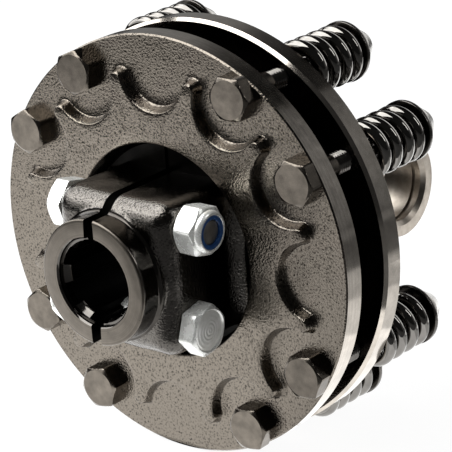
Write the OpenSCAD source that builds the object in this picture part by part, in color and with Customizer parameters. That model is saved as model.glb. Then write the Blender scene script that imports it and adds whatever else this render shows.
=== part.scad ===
// Friction torque limiter for a tractor driveline: a split, splined clamp hub whose drive flange is
// gripped between two lined plates by eight bolts and coil springs, with a universal joint yoke behind.
// The axis is Y, the hub's nose points to -Y, +Z is up, and y = 0 is the bolt seat of the front plate.

/* [Plates] */
// Outer diameter of the front plate and of the yoke flange
plate_d = 178; // [164:1:200]
// Thickness of the front plate at its rim
plate_t = 10; // [8:0.5:14]
// Central hole of the front plate, round the hub's barrel
plate_hole_d = 90; // [89:0.5:95]
// Bevel on the rim edges of the front plate
rim_bevel = 0.6; // [0.5:0.1:2]

/* [Raised pad] */
// Height of the scalloped pad above the bolt seats
pad_rise = 4.8; // [3:0.1:6]
// Distance of the pad's tips inside the rim
pad_edge = 13.7; // [13:0.1:15]
// Radius of each scallop
scallop_r = 16; // [14:0.5:17]
// Distance of the scallop centres inside the bolt circle
scallop_inset = 5.45; // [4.5:0.05:6.5]

/* [Plate bolts] */
// Thread diameter of the plate bolts
bolt_d = 10; // [8:0.5:10]
// Distance of the plate bolts' centres inside the rim
bolt_edge = 8.75; // [8:0.25:10]
// Width of the bolt heads across flats
bolt_af = 17; // [15:0.5:18]
// Height of the bolt heads
bolt_head_h = 6.4; // [5:0.1:8]
// Length of thread that stands out behind the nut
bolt_tip = 2.6; // [1.5:0.1:6]

/* [Friction pack] */
// Gap between the plate bolts and the edge of the linings and of the hub's drive flange
lining_gap = 3.25; // [1:0.25:8]
// Inner diameter of the friction linings
lining_id = 96; // [92:1:110]
// Thickness of one friction lining
lining_t = 3.25; // [2:0.25:5]
// Thickness of the hub's drive flange
drive_t = 10; // [8:0.5:14]

/* [Springs] */
// Outer diameter of the coil springs
spring_d = 25; // [23:0.5:26]
// Diameter of the spring wire
spring_wire = 5.6; // [4.5:0.1:5.8]
// Length of a spring as fitted
spring_len = 32.9; // [31:0.1:38]
// Turns in a spring, ends included
spring_turns = 4; // [3.5:0.25:4]

/* [Spring cups and nuts] */
// Outer diameter of the spring cups
cup_d = 25.7; // [24:0.1:27]
// Thickness of the rim of a spring cup
cup_t = 1.9; // [1.2:0.1:3]
// Height of the pilot of a cup, inside the spring
cup_pilot = 1.6; // [1:0.1:3]
// Height of a cone nut
cone_h = 11; // [9:0.5:14]
// Diameter of a cone nut at its small end
cone_top_d = 12; // [11.5:0.1:14]
// Diameter of a cone nut at its seat
cone_base_d = 24.2; // [21:0.1:26]
// Width of a cone nut across its wrench flats
cone_af = 19; // [17:0.5:20]

/* [Clamp hub] */
// Length of the hub in front of the bolt seat of the front plate
hub_front = 47.1; // [45:0.1:56]
// Length of the turned nose
nose_len = 10.4; // [8:0.1:12]
// Diameter of the turned nose
nose_d = 52.4; // [50:0.1:56]
// Distance of the clamp block's right bolt face from the axis
block_right = 30.5; // [29:0.1:32]
// Distance of the clamp block's left bolt face from the axis
block_left = 28.3; // [28:0.1:31]
// Height of the clamp block
block_h = 63.6; // [62:0.2:66]
// Radius on the front edges of the clamp block
block_round = 9; // [4:0.5:12]
// Radius on the long edges of the clamp block
block_corner = 7; // [3:0.5:10]
// Diameter of the barrel that passes through the front plate
barrel_d = 87; // [84:0.5:88]
// Depth of the barrel's face behind the bolt seat of the front plate
barrel_in = 4; // [2:0.5:6]
// Radius of the hollow roots between the bolt faces and the barrel
root_r = 10; // [6:0.5:12]
// Width of the clamp slit
slit_w = 4.7; // [3:0.1:6]
// Depth of the slit behind the bolt seat of the front plate
slit_back = 5; // [0:0.5:8]
// Diameter of the spigot that carries the yoke
spigot_d = 60; // [54:0.5:64]

/* [Splined bore] */
// Diameter over the spline tooth lands
spline_minor_d = 29.7; // [29:0.05:31]
// Diameter over the spline spaces
spline_major_d = 34.9; // [34:0.05:36]
// Width of a spline space
spline_space = 8.7; // [8:0.05:9]
// Diameter of the counterbore in front of the splines
mouth_d = 36.4; // [35.5:0.1:36.8]
// Depth of the counterbore in front of the splines
mouth_depth = 2.2; // [2:0.1:3]
// Diameter of the lead-in at the bore's mouth
lead_d = 37.9; // [37:0.1:41]
// Depth of the lead-in
lead_depth = 5; // [3:0.5:7]

/* [Clamp bolts] */
// Thread diameter of the clamp bolts
clamp_d = 12; // [10:0.5:13]
// Distance of the clamp bolts in front of the bolt seat of the front plate
clamp_ahead = 22.5; // [20:0.25:25]
// Width of the clamp bolt heads and nuts across flats
clamp_af = 19; // [18:0.5:20]
// Height of the clamp bolt heads
clamp_head_h = 7.5; // [7:0.1:9]
// Height of the clamp nuts with their locking collars
clamp_nut_h = 12; // [11:0.5:15]
// Depth of a clamp bolt's end below the face of its nut
clamp_recess = 1.4; // [0.5:0.1:3]
// Turn of the hexagons of the clamp bolts and nuts
clamp_turn = 18; // [-30:1:30]

/* [Yoke] */
// Thickness of the yoke flange
yoke_flange_t = 10; // [8:0.5:14]
// Bevel on the front edge of the yoke flange
yoke_bevel = 1.3; // [1:0.1:3]
// Diameter of the boss that carries the ears
yoke_boss_d = 96; // [92:1:110]
// Height of the boss behind the flange
yoke_boss_h = 9; // [6:0.5:14]
// Width over the two ears
yoke_w = 84; // [78:0.5:90]
// Gap between the two ears
yoke_gap = 56; // [50:0.5:60]
// Distance of the cross axis behind the flange
cross_back = 70.8; // [62:0.2:80]
// Diameter of the bores for the cross bearings
cross_d = 30.2; // [27:0.1:32]
// Bevel at the outer ends of those bores
cross_bevel = 1.8; // [1:0.1:2.5]
// Outer diameter of the ears
ear_d = 43; // [41:0.5:50]
// Diameter of the round boss inside each ear
ear_boss_d = 40; // [38:0.5:41]
// Height of the round boss inside each ear
ear_boss_h = 11; // [6:0.5:12]
// Width of an ear where it leaves the boss
ear_root_w = 58; // [50:0.5:64]
// Width of the circlip groove
groove_w = 1.8; // [1.2:0.1:2.4]
// Depth of the circlip groove
groove_depth = 1.1; // [0.6:0.1:1.6]
// Distance of the circlip groove from the ear's outer face
groove_in = 4.2; // [3:0.1:5]

/* [Bush] */
// Wall of the pilot bush
bush_wall = 3; // [2:0.25:4]

/* [Fits] */
// Radial clearance of the bolts in their holes
bolt_clear = 0.25; // [0.1:0.05:0.6]
// Radial clearance of the spigot in its bush
run_clear = 0.05; // [0.02:0.01:0.1]
// Radial clearance of pieces that are pressed or screwed together
seat_clear = 0.02; // [0.01:0.01:0.05]
// Radial clearance between the clamp bolts and the shaft's groove
groove_clear = 0.1; // [0.05:0.05:0.5]

/* [Hidden] */
fine = 96;
eps = 0.01;
scallop_count = 12;
spline_count = 6;
spring_count = 8;
// Every third scallop stays empty, so the bolts sit in pairs
bolt_angles = [for (i = [0 : scallop_count - 1]) if (i % 3 != 0) i * 360 / scallop_count];
scallop_step = 360 / scallop_count;

// Circles of the plates that follow their rim
bolt_circle_d = plate_d - 2 * bolt_edge;
scallop_circle_r = bolt_circle_d / 2 - scallop_inset;
pad_d = plate_d - 2 * pad_edge;
lining_d = bolt_circle_d - bolt_d - 2 * lining_gap;

// Stations along the axis
drive_y = plate_t + lining_t;
flange_y = drive_y + drive_t + lining_t;
flange_back = flange_y + yoke_flange_t;
cup_y = flange_back + spring_len;
cone_y = cup_y + cup_t;
bolt_len = cone_y + cone_h + bolt_tip;
cross_y = flange_back + cross_back;
nose_back = nose_len - hub_front;

// Pad tips: circles tangent to the two scallops beside them
tip_span = scallop_r + pad_d / 2;
tip_circle_r = (tip_span ^ 2 - scallop_circle_r ^ 2)
  / (2 * (tip_span - scallop_circle_r * cos(scallop_step / 2)));
tip_r = pad_d / 2 - tip_circle_r;
tip_x = tip_circle_r * cos(scallop_step / 2);
tip_z = tip_circle_r * sin(scallop_step / 2);
scallop_sweep = atan2(tip_z, tip_x - scallop_circle_r);
tip_sweep = 180 + scallop_step / 2 - scallop_sweep;
scallop_points = 16;
tip_points = 8;

// The clamp bolts pass beside the shaft, in the groove that locks the hub on it
clamp_z = (spline_minor_d + clamp_d) / 2 + groove_clear;
block_w = block_left + block_right;
block_mid = (block_right - block_left) / 2;
clamp_len = block_w + clamp_nut_h - clamp_recess;
nut_hex_h = 0.8 * clamp_nut_h;
collar_d = 0.92 * clamp_af;
lip_d = clamp_d + 1.6;
insert_d = clamp_d + 2.4;
insert_h = 2.2;
insert_in = 0.3;
bush_d = spigot_d + 2 * (run_clear + bush_wall);

// Spring coil
coil_r = (spring_d - spring_wire) / 2;
coil_sides = 8;
coil_steps = 16;
coil_rings = round(spring_turns * coil_steps);
coil_seat = 0.3 * spring_wire;
coil_start = 180;
end_turns = 0.75;
end_pitch = 1.04 * spring_wire;
coil_rise = spring_len - 2 * coil_seat;
mid_pitch = (coil_rise - 2 * end_turns * end_pitch) / (spring_turns - 2 * end_turns);

// Lays what is drawn along +Z along the axis, from the station y
module along_axis(y = 0) {
  translate([0, y, 0]) rotate([-90, 0, 0]) children();
}

// Turns what is drawn on the +X side of the axis to the angle a
module turned(a) {
  rotate([0, -a, 0]) children();
}

// Repeats what is drawn on the axis at every plate bolt
module at_bolts() {
  for (a = bolt_angles) turned(a) translate([bolt_circle_d / 2, 0, 0]) children();
}

// Lays what is drawn along +Z across the hub from the seat of a bolt head, upper bolt to +X, lower to -X
module at_clamp_bolts() {
  for (side = [1, -1])
    translate([side > 0 ? -block_left : block_right, -clamp_ahead, side * clamp_z])
      rotate([0, side * 90, 0]) rotate([0, 0, clamp_turn]) children();
}

// A ring of rectangular section along the axis
module ring(y, length, outer_d, inner_d) {
  along_axis(y) difference() {
    cylinder(h = length, d = outer_d, $fn = fine);
    translate([0, 0, -1]) cylinder(h = length + 2, d = inner_d, $fn = fine);
  }
}

// Hexagon that ends in a chamfered face at z = h
module hex_body(af, h) {
  bevel = 0.12 * af;
  corner_d = af / cos(30);
  intersection() {
    cylinder(h = h, d = corner_d, $fn = 6);
    union() {
      cylinder(h = h - bevel / 2, d = corner_d + 1, $fn = fine);
      translate([0, 0, h - bevel / 2])
        cylinder(h = bevel / 2, d1 = corner_d, d2 = corner_d - 2 * bevel * cos(30), $fn = fine);
    }
  }
}

// Bolt with its seat at z = 0, head towards -Z and a bevelled end
module hex_bolt(d, length, af, head_h) {
  end_bevel = 0.1 * d;
  mirror([0, 0, 1]) hex_body(af, head_h);
  translate([0, 0, -eps]) cylinder(h = length - end_bevel + eps, d = d, $fn = fine);
  translate([0, 0, length - end_bevel])
    cylinder(h = end_bevel, d1 = d, d2 = d - 2 * end_bevel, $fn = fine);
}

// Outline of the clamp block in a plane along the axis, with round front corners at y = 0
module block_outline(w, length) {
  translate([-w / 2, block_round]) square([w, length - block_round]);
  translate([block_round - w / 2, 0]) square([w - 2 * block_round, block_round + eps]);
  for (side = [-1, 1])
    translate([side * (w / 2 - block_round), block_round]) circle(r = block_round, $fn = fine);
}

// Rectangle with round corners round the origin
module round_rectangle(w, h, r) {
  square([w - 2 * r, h], center = true);
  square([w, h - 2 * r], center = true);
  for (x = [-1, 1]) for (y = [-1, 1])
    translate([x * (w / 2 - r), y * (h / 2 - r)]) circle(r = r, $fn = fine);
}

// Clamp block: its outlines seen from above, from the side and from the front, crossed with each other
module clamp_block() {
  block_len = drive_y - nose_back;
  translate([block_mid, nose_back, 0]) intersection() {
    linear_extrude(height = block_h, center = true) block_outline(block_w, block_len);
    rotate([0, 90, 0]) linear_extrude(height = block_w, center = true) block_outline(block_h, block_len);
    along_axis() linear_extrude(height = block_len) round_rectangle(block_w, block_h, block_corner);
  }
}

// Hollow roots that join the bolt faces of the block to the barrel's face, inside the barrel's circle
module block_roots() {
  hollow_in = 0.94 * root_r;
  intersection() {
    along_axis(barrel_in - root_r) cylinder(h = root_r + 1, d = barrel_d, $fn = fine);
    translate([block_mid, barrel_in, 0])
      linear_extrude(height = block_h - block_corner, center = true) for (side = [-1, 1]) difference() {
        translate([side * (block_w + root_r) / 2, -root_r / 2])
          square([1.2 * root_r, root_r + 1], center = true);
        translate([side * (block_w / 2 + hollow_in), -hollow_in]) circle(r = root_r, $fn = fine);
      }
  }
}

// Turned shapes of the hub: nose, barrel, drive flange and spigot
module hub_turned() {
  nose_bevel = 0.8;
  along_axis() rotate_extrude($fn = fine) polygon([
    [0, -hub_front],
    [nose_d / 2 - nose_bevel, -hub_front],
    [nose_d / 2, nose_bevel - hub_front],
    [nose_d / 2, barrel_in],
    [barrel_d / 2, barrel_in],
    [barrel_d / 2, drive_y],
    [lining_d / 2, drive_y],
    [lining_d / 2, drive_y + drive_t],
    [spigot_d / 2, drive_y + drive_t],
    [spigot_d / 2, flange_back],
    [0, flange_back]
  ]);
}

// The splined bore: a round bore over the tooth lands, six spaces, a lead-in at each end and a counterbore
module splined_bore() {
  bore_len = hub_front + flange_back;
  lead_cone = lead_depth * spline_minor_d / (lead_d - spline_minor_d);
  mouth_bevel = (lead_d - mouth_d) / 2;
  along_axis(-hub_front) {
    translate([0, 0, -1]) cylinder(h = bore_len + 2, d = spline_minor_d, $fn = fine);
    intersection() {
      translate([0, 0, -1]) cylinder(h = bore_len + 2, d = spline_major_d, $fn = fine);
      for (i = [0 : spline_count / 2 - 1])
        rotate([0, 0, 30 + i * 360 / spline_count])
          translate([-spline_major_d, -spline_space / 2, -1])
            cube([2 * spline_major_d, spline_space, bore_len + 2]);
    }
    translate([0, 0, -eps]) cylinder(h = lead_depth + lead_cone, d1 = lead_d, d2 = 0, $fn = fine);
    translate([0, 0, -eps]) cylinder(h = mouth_bevel, d1 = lead_d, d2 = mouth_d, $fn = fine);
    translate([0, 0, -1]) cylinder(h = mouth_depth + 1, d = mouth_d, $fn = fine);
    translate([0, 0, bore_len - lead_depth - lead_cone + eps])
      cylinder(h = lead_depth + lead_cone, d1 = 0, d2 = lead_d, $fn = fine);
  }
}

module clamp_hub() {
  slit_len = hub_front + slit_back;
  color("#1b1a19") difference() {
    union() {
      hub_turned();
      clamp_block();
      block_roots();
    }
    splined_bore();
    translate([-slit_w / 2, -hub_front - 1, -block_h]) cube([slit_w, slit_len + 1, 2 * block_h]);
    at_clamp_bolts() translate([0, 0, -1])
      cylinder(h = block_w + 2, d = clamp_d + 2 * bolt_clear, $fn = fine);
  }
}

// Upper bolt has its head at -X and its nut at +X, the lower one the other way round
module clamp_bolts() {
  color("#c9ccc9") at_clamp_bolts() hex_bolt(clamp_d, clamp_len, clamp_af, clamp_head_h);
}

module clamp_nuts() {
  color("#c9ccc9") at_clamp_bolts() translate([0, 0, block_w]) difference() {
    union() {
      hex_body(clamp_af, nut_hex_h);
      translate([0, 0, nut_hex_h - 1])
        cylinder(h = clamp_nut_h - nut_hex_h + 1, d1 = collar_d, d2 = collar_d - 1.6, $fn = fine);
    }
    translate([0, 0, -1])
      cylinder(h = clamp_nut_h + 2, d = clamp_d + 2 * seat_clear, $fn = fine);
    translate([0, 0, clamp_nut_h - insert_in - insert_h])
      cylinder(h = insert_h, d = insert_d, $fn = fine);
    translate([0, 0, clamp_nut_h - insert_in - eps])
      cylinder(h = insert_in + 1, d = lip_d, $fn = fine);
  }
}

// Locking ring inside the collar of each clamp nut
module clamp_nut_inserts() {
  color("#3d76b8") at_clamp_bolts()
    translate([0, 0, block_w + clamp_nut_h - insert_in - insert_h]) difference() {
      cylinder(h = insert_h, d = insert_d - 2 * seat_clear, $fn = fine);
      translate([0, 0, -1]) cylinder(h = insert_h + 2, d = clamp_d + 2 * seat_clear, $fn = fine);
    }
}

// A point on a circle whose centre lies at radius c and angle a from the axis
function pad_point(c, a, r, b) = [c * cos(a) + r * cos(a + b), c * sin(a) + r * sin(a + b)];

// Edge of the pad at scallop i: the hollow arc, then the round tip that follows it
function pad_edge(i) = concat(
  [for (k = [0 : scallop_points])
    pad_point(scallop_circle_r, i * scallop_step, scallop_r,
      scallop_sweep + (360 - 2 * scallop_sweep) * (1 - k / scallop_points))],
  [for (k = [1 : tip_points - 1])
    pad_point(tip_circle_r, (i + 0.5) * scallop_step, tip_r, tip_sweep * (2 * k / tip_points - 1))]
);

// Raised pad: round hollows along its edge, each running smoothly into a round tip
module scalloped_pad() {
  along_axis(-pad_rise) linear_extrude(height = pad_rise + eps)
    polygon([for (i = [0 : scallop_count - 1]) each pad_edge(i)]);
}

module front_plate() {
  color("#2b2927") difference() {
    union() {
      along_axis() rotate_extrude($fn = fine) polygon([
        [0, 0],
        [plate_d / 2 - rim_bevel, 0],
        [plate_d / 2, rim_bevel],
        [plate_d / 2, plate_t - rim_bevel],
        [plate_d / 2 - rim_bevel, plate_t],
        [0, plate_t]
      ]);
      scalloped_pad();
    }
    along_axis(-pad_rise - 1) cylinder(h = plate_t + pad_rise + 2, d = plate_hole_d, $fn = fine);
    at_bolts() along_axis(-pad_rise)
      cylinder(h = plate_t + pad_rise + 1, d = bolt_d + 2 * bolt_clear, $fn = fine);
  }
}

module friction_disc_front() {
  color("#6b5a48") ring(plate_t, lining_t, lining_d, lining_id);
}

module friction_disc_rear() {
  color("#6b5a48") ring(drive_y + drive_t, lining_t, lining_d, lining_id);
}

// Outline of one ear in the plane y, z: a round end with straight flanks that run to its root
module ear_outline() {
  root_y = flange_y + eps;
  run = cross_y - root_y;
  half_root = ear_root_w / 2;
  far = norm([run, half_root]);
  lean = acos(ear_d / 2 / far) - atan2(half_root, run);
  tangent = ear_d / 2 * [-cos(lean), sin(lean)];
  translate([cross_y, 0]) circle(d = ear_d, $fn = fine);
  polygon([
    [root_y, -half_root],
    [root_y, half_root],
    [cross_y + tangent[0], tangent[1]],
    [cross_y + tangent[0], -tangent[1]]
  ]);
}

// One piece of forged steel: flange, boss and two ears
module flange_yoke() {
  bore_len = yoke_w + 2;
  seat_len = yoke_flange_t + yoke_boss_h + 2;
  groove_d = cross_d + 2 * groove_depth;
  boss_lean = 3;
  color("#3a3835") difference() {
    union() {
      along_axis() rotate_extrude($fn = fine) polygon([
        [0, flange_y],
        [plate_d / 2 - yoke_bevel, flange_y],
        [plate_d / 2, flange_y + yoke_bevel],
        [plate_d / 2, flange_back - rim_bevel],
        [plate_d / 2 - rim_bevel, flange_back],
        [yoke_boss_d / 2, flange_back],
        [yoke_boss_d / 2 - boss_lean, flange_back + yoke_boss_h],
        [0, flange_back + yoke_boss_h]
      ]);
      for (side = [-1, 1])
        translate([side * (yoke_w + yoke_gap) / 4, 0, 0])
          rotate([90, 0, 90]) linear_extrude(height = (yoke_w - yoke_gap) / 2, center = true) ear_outline();
      for (side = [-1, 1])
        translate([side * (yoke_gap / 2 + eps), cross_y, 0]) rotate([0, -side * 90, 0])
          cylinder(h = ear_boss_h + eps, d = ear_boss_d, $fn = fine);
    }
    along_axis(flange_y - 1) cylinder(h = seat_len, d = bush_d + 2 * seat_clear, $fn = fine);
    at_bolts() along_axis(flange_y - 1)
      cylinder(h = yoke_flange_t + 2, d = bolt_d + 2 * bolt_clear, $fn = fine);
    translate([0, cross_y, 0]) rotate([0, 90, 0]) {
      cylinder(h = bore_len, d = cross_d, center = true, $fn = fine);
      for (side = [0, 1]) mirror([0, 0, side]) translate([0, 0, yoke_w / 2 - cross_bevel])
        cylinder(h = cross_bevel + eps, d1 = cross_d, d2 = cross_d + 2 * cross_bevel, $fn = fine);
      for (side = [-1, 1])
        translate([0, 0, side * (yoke_w / 2 - groove_in - groove_w / 2)])
          cylinder(h = groove_w, d = groove_d, center = true, $fn = fine);
    }
  }
}

module pilot_bush() {
  color("#a8803c") ring(flange_y, yoke_flange_t, bush_d, spigot_d + 2 * run_clear);
}

module plate_bolts() {
  color("#242322") at_bolts() along_axis() hex_bolt(bolt_d, bolt_len, bolt_af, bolt_head_h);
}

// Height of the coil's centre line after t turns, with closed turns at both ends
function coil_height(t) =
  t < end_turns ? coil_seat + end_pitch * t
  : t < spring_turns - end_turns ? coil_seat + end_pitch * end_turns + mid_pitch * (t - end_turns)
  : spring_len - coil_seat - end_pitch * (spring_turns - t);

// One point of the wire's surface: ring i along the coil, corner j round the wire
function coil_point(i, j) =
  let (
    turn = i / coil_rings * spring_turns,
    b = j * 360 / coil_sides,
    r = coil_r + spring_wire / 2 * cos(b),
    h = coil_height(turn) + spring_wire / 2 * sin(b)
  )
  [r * cos(coil_start + 360 * turn), r * sin(coil_start + 360 * turn), max(0, min(spring_len, h))];

// Coil spring with ends ground flat, swept along its helix
module coil() {
  points = [for (i = [0 : coil_rings]) for (j = [0 : coil_sides - 1]) coil_point(i, j)];
  last = coil_rings * coil_sides;
  walls = [
    for (i = [0 : coil_rings - 1]) for (j = [0 : coil_sides - 1])
      let (a = i * coil_sides, k = (j + 1) % coil_sides)
        for (face = [[a + j, a + coil_sides + j, a + k], [a + k, a + coil_sides + j, a + coil_sides + k]])
          face
  ];
  first_cap = [for (j = [0 : coil_sides - 1]) j];
  last_cap = [for (j = [0 : coil_sides - 1]) last + coil_sides - 1 - j];
  polyhedron(points, concat(walls, [first_cap, last_cap]));
}

module spring(i) {
  color("#121212") turned(bolt_angles[i - 1]) translate([bolt_circle_d / 2, 0, 0])
    along_axis(flange_back) coil();
}

// Washer with a pilot that centres the spring
module spring_cup(i) {
  pilot_d = spring_d - 2 * spring_wire - 1;
  color("#1d1c1b") turned(bolt_angles[i - 1]) translate([bolt_circle_d / 2, 0, 0])
    along_axis(cup_y) difference() {
      union() {
        cylinder(h = cup_t, d = cup_d, $fn = fine);
        translate([0, 0, -cup_pilot]) cylinder(h = cup_pilot + eps, d = pilot_d, $fn = fine);
      }
      translate([0, 0, -cup_pilot - 1])
        cylinder(h = cup_pilot + cup_t + 2, d = bolt_d + 2 * bolt_clear, $fn = fine);
    }
}

// Cone nuts that set the springs, with six wrench flats milled into the cone
module cone_nuts() {
  color("#b9b6ae") at_bolts() along_axis(cone_y) difference() {
    intersection() {
      cylinder(h = cone_h, d1 = cone_base_d, d2 = cone_top_d, $fn = fine);
      union() {
        cylinder(h = cone_h, d = cone_af / cos(30), $fn = 6);
        cylinder(h = 1, d = cone_base_d + 1, $fn = fine);
      }
    }
    translate([0, 0, -1]) cylinder(h = cone_h + 2, d = bolt_d + 2 * seat_clear, $fn = fine);
  }
}

clamp_hub();
clamp_bolts();
clamp_nuts();
clamp_nut_inserts();
front_plate();
friction_disc_front();
friction_disc_rear();
flange_yoke();
pilot_bush();
plate_bolts();
for (i = [1 : spring_count]) spring(i);
for (i = [1 : spring_count]) spring_cup(i);
cone_nuts();
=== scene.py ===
"""Looks of a friction torque limiter: painted castings, plated bolts, enamelled springs, studio light.

Shapes are written in millimetres in the row frame: the axis is Y, the nose points to -Y and +Z is up.
"""

import math

import bmesh
import bpy
from mathutils import Matrix, Vector, noise


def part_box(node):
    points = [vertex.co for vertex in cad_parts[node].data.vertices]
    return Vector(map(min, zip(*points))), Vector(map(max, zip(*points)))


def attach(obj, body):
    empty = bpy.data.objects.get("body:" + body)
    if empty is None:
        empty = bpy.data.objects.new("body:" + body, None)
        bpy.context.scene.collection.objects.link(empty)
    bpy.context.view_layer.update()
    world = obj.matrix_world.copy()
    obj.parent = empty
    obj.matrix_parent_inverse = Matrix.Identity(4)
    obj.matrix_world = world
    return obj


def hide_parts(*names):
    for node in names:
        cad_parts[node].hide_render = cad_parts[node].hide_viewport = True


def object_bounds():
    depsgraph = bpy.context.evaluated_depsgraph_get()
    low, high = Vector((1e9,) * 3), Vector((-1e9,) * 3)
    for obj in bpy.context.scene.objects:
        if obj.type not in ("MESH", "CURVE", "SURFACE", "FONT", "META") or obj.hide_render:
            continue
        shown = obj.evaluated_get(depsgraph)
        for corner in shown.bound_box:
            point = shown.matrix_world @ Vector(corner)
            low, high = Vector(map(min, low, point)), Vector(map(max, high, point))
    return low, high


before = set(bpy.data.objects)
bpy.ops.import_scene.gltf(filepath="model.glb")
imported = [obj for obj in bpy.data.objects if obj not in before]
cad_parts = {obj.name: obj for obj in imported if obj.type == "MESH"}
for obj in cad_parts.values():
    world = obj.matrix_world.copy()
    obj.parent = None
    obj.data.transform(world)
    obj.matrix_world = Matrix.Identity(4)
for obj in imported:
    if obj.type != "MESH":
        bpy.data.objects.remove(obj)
cad_low, cad_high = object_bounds()

MM = 0.001


def box_mm(node):
    """Lowest and highest corner of a CAD node, in millimetres."""
    low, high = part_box(node)
    return low / MM, high / MM


# Camera, fitted to the photograph
CAMERA_AZIMUTH = 39.7
CAMERA_ELEVATION = 19.75
CAMERA_ROLL = -3.49
CAMERA_DISTANCE = 940.14
CAMERA_TARGET = (14.04, 20.0, 5.13)
CAMERA_LENS = 183.3
SENSOR_WIDTH = 36.0

# Stations and radii read from the frame
PLATE_LOW, PLATE_HIGH = box_mm("front_plate")
PLATE_R = PLATE_HIGH.x
PLATE_BACK = PLATE_HIGH.y
PAD_FRONT = PLATE_LOW.y
BOLTS_LOW, BOLTS_HIGH = box_mm("plate_bolts")
HEAD_FRONT = BOLTS_LOW.y
BOLT_END = BOLTS_HIGH.y
SPRING_LOW, SPRING_HIGH = box_mm("spring_1")
SPRING_START = SPRING_LOW.y
SPRING_END = SPRING_HIGH.y
CUP_BACK = box_mm("spring_cup_1")[1].y
CONE_END = box_mm("cone_nuts")[1].y
HUB_LOW, HUB_HIGH = box_mm("clamp_hub")
NOSE_FRONT = HUB_LOW.y
HUB_BACK = HUB_HIGH.y
DRIVE_R = HUB_HIGH.x
DRIVE_FRONT = box_mm("friction_disc_front")[1].y
DRIVE_BACK = box_mm("friction_disc_rear")[0].y
FLOOR_Z = cad_low.z - 0.1 * MM

# Front plate
PLATE_HOLE_R = 45.0
HOLE_ROUND = 0.8
HOLE_ROUND_STEPS = 5
RIM_BEVEL = 0.6
SCALLOPS = 12
SCALLOP_R = 16.0
SCALLOP_CIRCLE_R = 74.8
PAD_TIP_R = 75.3
HOLLOW_STEPS = 26
TIP_STEPS = 10
OUTLINE_POINTS = SCALLOPS * (HOLLOW_STEPS + TIP_STEPS)
PAD_BANDS = 6
STEP_ROUND = 1.0
STEP_WALL = 0.35
STEP_ROWS = 14
SEAT_SHARES = (0.17, 0.33, 0.5, 0.67, 0.83, 0.96, 1.0)

# Unevenness of the castings: height on the pad, on the bolt seats and on the block, and length of the waves
PAD_SWELL = 0.1
SEAT_SWELL = 0.06
PLATE_WAVE = (7.0, 5.0, 7.0)
BLOCK_SWELL = 0.35
BLOCK_WAVE = 9.0

# Plate bolts, with the turn of each head as in the photograph
BOLT_ANGLES = [i * 30 for i in range(SCALLOPS) if i % 3]
BOLT_CIRCLE_R = 80.25
HEAD_TURNS = (24, 30, 54, 2, 11, 40, 36, 36)
BOLT_R = 5.0
BOLT_AF = 17.0
BOLT_PITCH = 1.5
THREAD_FROM = 19.0
THREAD_R = 4.6
SHANK_TAPER = 0.8

# Heads, nuts and threads
ROUND_SIDES = 96
HEX_CORNER = 0.2
HEX_BLEND = 0.25
HEX_ENDS = (0.0, 0.12, 0.3, 0.5, 0.75, 1.0, 1.3)
CHAMFER_SLOPE = 1.75
HEAD_TOP_SHARE = 0.93
NUT_TOP_SHARE = 0.96
FACE_SHARE = 0.455
FACE_CENTRE_R = 0.2
RING_PITCH = 1.6
RING_ZONE = 4.6
OUTER_RING_SHARE = 0.3
THREAD_SIDES = 32
THREAD_STEPS = 6
THREAD_DEPTH = 0.55
THREAD_END_TAPER = 0.9

# Springs and cone nuts
SPRING_R = 12.5
SPRING_WIRE = 5.6
SPRING_TURNS = 4.0
SPRING_STEPS = 56
WIRE_SIDES = 20
CLOSED_TURNS = 0.75
CONE_BASE_R = 12.1
CONE_TOP_R = 6.0
CONE_AF = 19.0
CONE_BLEND = 0.4
CONE_BANDS = 16
CONE_COLLAR = 1.0
CONE_TURN = 13

# Clamp hub
NOSE_R = 26.2
NOSE_BACK = -36.7
NOSE_EDGE = 0.9
NOSE_FILLET = 1.4
NOSE_ROWS = (-43.5, -40.0)
NOSE_EDGE_ROWS = 3
BLOCK_LEFT = 28.3
BLOCK_RIGHT = 30.5
BLOCK_HALF_H = 31.8
BLOCK_ROUND = 9.0
BLOCK_CORNER = 7.0
BLOCK_BANDS = 8
FACE_CORNER = 2.0
BARREL_R = 43.5
BARREL_Y = 4.0
BARREL_BEVEL = 0.7
BARREL_ROWS = 4
ROOT_R = 10.0
ROOT_CENTRE = 0.94 * ROOT_R
ROOT_LEG = 6.0
ROOT_HALF_H = 28.3
ROOT_CORNER = 1.0
JAW_STEPS = 96
SLIT_HALF = 2.35
SLIT_END = 5.0
SPIGOT_R = 30.0
SPLINES = 6
LAND_R = 14.85
SPACE_R = 17.45
SPACE_HALF = 4.35
LEAD_R = 18.95
LEAD_DEPTH = 5.0
MOUTH_R = 18.2
MOUTH_DEPTH = 2.2
MOUTH_EDGE = 0.01

# Clamp bolts and nuts
CLAMP_R = 6.0
CLAMP_AF = 19.0
CLAMP_Y = -22.5
CLAMP_Z = 20.95
CLAMP_HEAD = 7.5
CLAMP_RING_DEPTH = 0.12
CLAMP_DOME = 0.7
CLAMP_THREAD_FROM = 42.0
CLAMP_SHANK_SIDES = 48
CLAMP_NUT = 12.0
CLAMP_PITCH = 1.75
CLAMP_RECESS = 1.4
CLAMP_TURN = -12.0
CLAMP_SPAN = BLOCK_LEFT + BLOCK_RIGHT
NUT_HEX_H = 9.6
NUT_FLOOR = 9.5
COLLAR_R = 8.74
LIP_R = 6.8
INSERT_R = 7.2
INSERT_LOW = 9.52
INSERT_HIGH = 11.68
INSERT_GRIP = 10.7

# Zones of the yoke that are bare metal: ear faces, ear bores and rim
EAR_FACE_X = 41.8
EAR_FRONT = 85.0
EAR_BORE_R = 17.0
CROSS_Y = 107.3
YOKE_RIM_R = 87.6

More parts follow.
